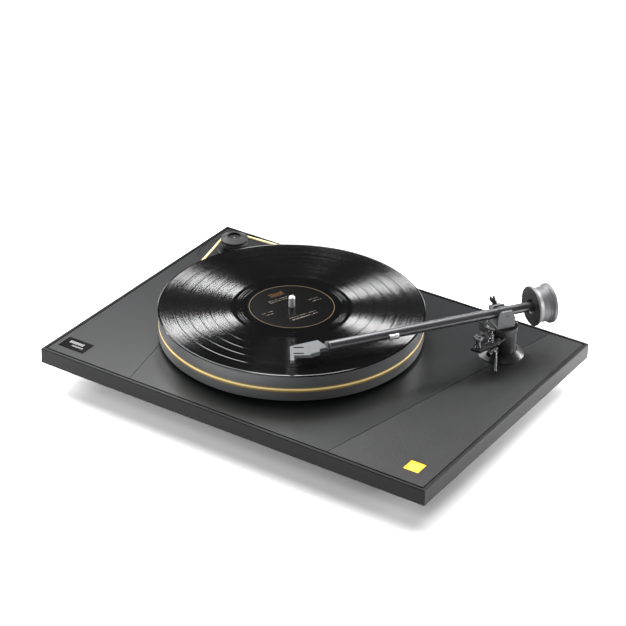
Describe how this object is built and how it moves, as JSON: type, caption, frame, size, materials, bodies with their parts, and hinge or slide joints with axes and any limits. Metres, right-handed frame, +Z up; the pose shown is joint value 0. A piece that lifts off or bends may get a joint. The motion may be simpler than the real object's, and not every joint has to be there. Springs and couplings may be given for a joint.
{
  "type": "turntable record player",
  "caption": "Low belt-driven turntable: slim dark plinth with slanted top panels, heavy platter with a record, ten-inch tonearm on a pillar, corner motor pulley and a lit square button.",
  "frame": {"origin": "on the table under the middle of the plinth", "axes": "+X to the right side, +Y to the back, +Z up"},
  "size_m": [0.5, 0.362, 0.1218],
  "materials": {
    "plinth_lacquer": "fibreboard, satin dark grey lacquer",
    "panel_satin": "smooth satin dark grey",
    "panel_texture": "fine leather-like texture, dark grey",
    "badge_black": null,
    "foot_rubber": "matt black rubber",
    "foot_shell": "matt black",
    "zinc_steel": "zinc plated",
    "motor_cover": "satin dark grey",
    "motor_steel": "plain steel",
    "pulley_delrin": "turned dark grey acetal",
    "belt_rubber": "yellow belt rubber",
    "bronze": "sintered bronze",
    "bearing_steel": "ground steel",
    "black_anodised": "black anodised",
    "platter_delrin": "turned dark grey acetal",
    "chrome": "polished",
    "vinyl": "pressed black vinyl",
    "label_paper": "black printed paper with a tan ring",
    "pillar_gloss": "gloss black",
    "gimbal_grey": "satin mid grey",
    "tube_graphite": "satin graphite grey",
    "shell_grey": "satin light grey",
    "silver_knurl": "bright knurled",
    "weight_grey": "satin dark grey metal",
    "button_yellow": "translucent yellow, lit",
    "guide_black": "matt black",
    "circuit_green": "solder resist",
    "spring_steel": "spring wire",
    "gold_contact": "gold plated",
    "white_insulator": "white",
    "lead_wire": "light grey wire"
  },
  "bodies": {
    "deck": {"plinth_board": "plinth_lacquer", "top_panel_left": "panel_satin", "top_panel_centre": "panel_satin", "top_panel_right": "panel_texture", "badge_plate": "badge_black", "foot_cups": "foot_shell", "foot_pads": "foot_rubber", "foot_screws": "zinc_steel", "button_guide": "guide_black", "switch_board": "circuit_green", "switch_cover": "guide_black", "button_spring": "spring_steel", "motor_plate": "motor_cover", "motor_can": "motor_steel", "motor_grommets": "foot_rubber", "motor_screws": "zinc_steel", "drive_belt": "belt_rubber", "bearing_housing": "black_anodised", "bearing_bush": "bronze", "thrust_ball": "bearing_steel", "bearing_screws": "zinc_steel", "arm_base_flange": "pillar_gloss", "arm_base_nut": "black_anodised", "height_lock_screw": "zinc_steel", "terminal_box": "guide_black", "phono_sockets": "gold_contact", "socket_insulators": "white_insulator", "ground_post": "gold_contact", "power_inlet": "guide_black"},
    "platter_group": {"platter": "platter_delrin", "platter_hub": "black_anodised", "spindle_shaft": "chrome", "record_disc": "vinyl", "record_label": "label_paper"},
    "motor_rotor": {"motor_shaft": "bearing_steel", "drive_pulley": "pulley_delrin"},
    "button": {"button_cap": "button_yellow"},
    "arm_column": {"arm_pillar": "pillar_gloss", "pillar_collar": "pillar_gloss", "swing_bearings": "bearing_steel", "lift_bracket": "black_anodised", "bracket_screws": "chrome", "rest_post": "chrome", "rest_cradle": "gimbal_grey", "lift_cylinder": "chrome", "cam_housing": "black_anodised"},
    "arm_yoke": {"gimbal_yoke": "gimbal_grey", "swing_spindle": "bearing_steel", "pivot_screws": "silver_knurl", "antiskate_fork": "gimbal_grey", "signal_lead": "lead_wire"},
    "tonearm": {"arm_tube": "tube_graphite", "tilt_sleeve": "tube_graphite", "head_ring": "guide_black", "damping_slug": "silver_knurl", "headshell": "shell_grey"},
    "balance_weight": {"counterweight": "weight_grey"},
    "lift": {"lift_rod": "chrome", "lift_bar": "gimbal_grey"},
    "lever": {"cue_lever": "chrome"}
  },
  "joints": [
    {"name": "platter_spin", "type": "hinge", "parent": "deck", "child": "platter_group", "pos_m": [-0.03695, 0.00449, 0.046], "axis": [0, 0, -1], "continuous": true},
    {"name": "motor_spin", "type": "hinge", "parent": "deck", "child": "motor_rotor", "pos_m": [-0.2017, 0.1275, 0.046], "axis": [0, 0, -1], "continuous": true},
    {"name": "power_button", "type": "slide", "parent": "deck", "child": "button", "axis": [0, 0, 1], "range_m": [-0.0015, 0], "stiffness_N_per_m": 900, "springref_m": 0.0006, "deforming": ["button_spring"]},
    {"name": "arm_height", "type": "slide", "parent": "deck", "child": "arm_column", "axis": [0, 0, 1], "range_m": [-0.003, 0.008]},
    {"name": "arm_swing", "type": "hinge", "parent": "arm_column", "child": "arm_yoke", "pos_m": [0.1775, 0.1056, 0.046], "axis": [0, 0, 1], "range_deg": [-20, 32]},
    {"name": "arm_tilt", "type": "hinge", "parent": "arm_yoke", "child": "tonearm", "pos_m": [0.1775, 0.1056, 0.099], "axis": [-0.828, 0.5608, 0], "range_deg": [-1.5, 15]},
    {"name": "weight_slide", "type": "slide", "parent": "tonearm", "child": "balance_weight", "axis": [-0.5608, -0.828, 0], "range_m": [-0.008, 0.004]},
    {"name": "cue_turn", "type": "hinge", "parent": "arm_column", "child": "lever", "pos_m": [0.1865, 0.068, 0.0689], "axis": [-1, 0, 0], "range_deg": [0, 60]},
    {"name": "cue_lift", "type": "slide", "parent": "arm_column", "child": "lift", "axis": [0, 0, 1], "range_m": [-0.004, 0]}
  ],
  "couplings": [
    {"joint": "motor_spin", "follows": "platter_spin", "ratio": 9.9333},
    {"joint": "cue_lift", "follows": "cue_turn", "m_per_rad": -0.00382}
  ]
}
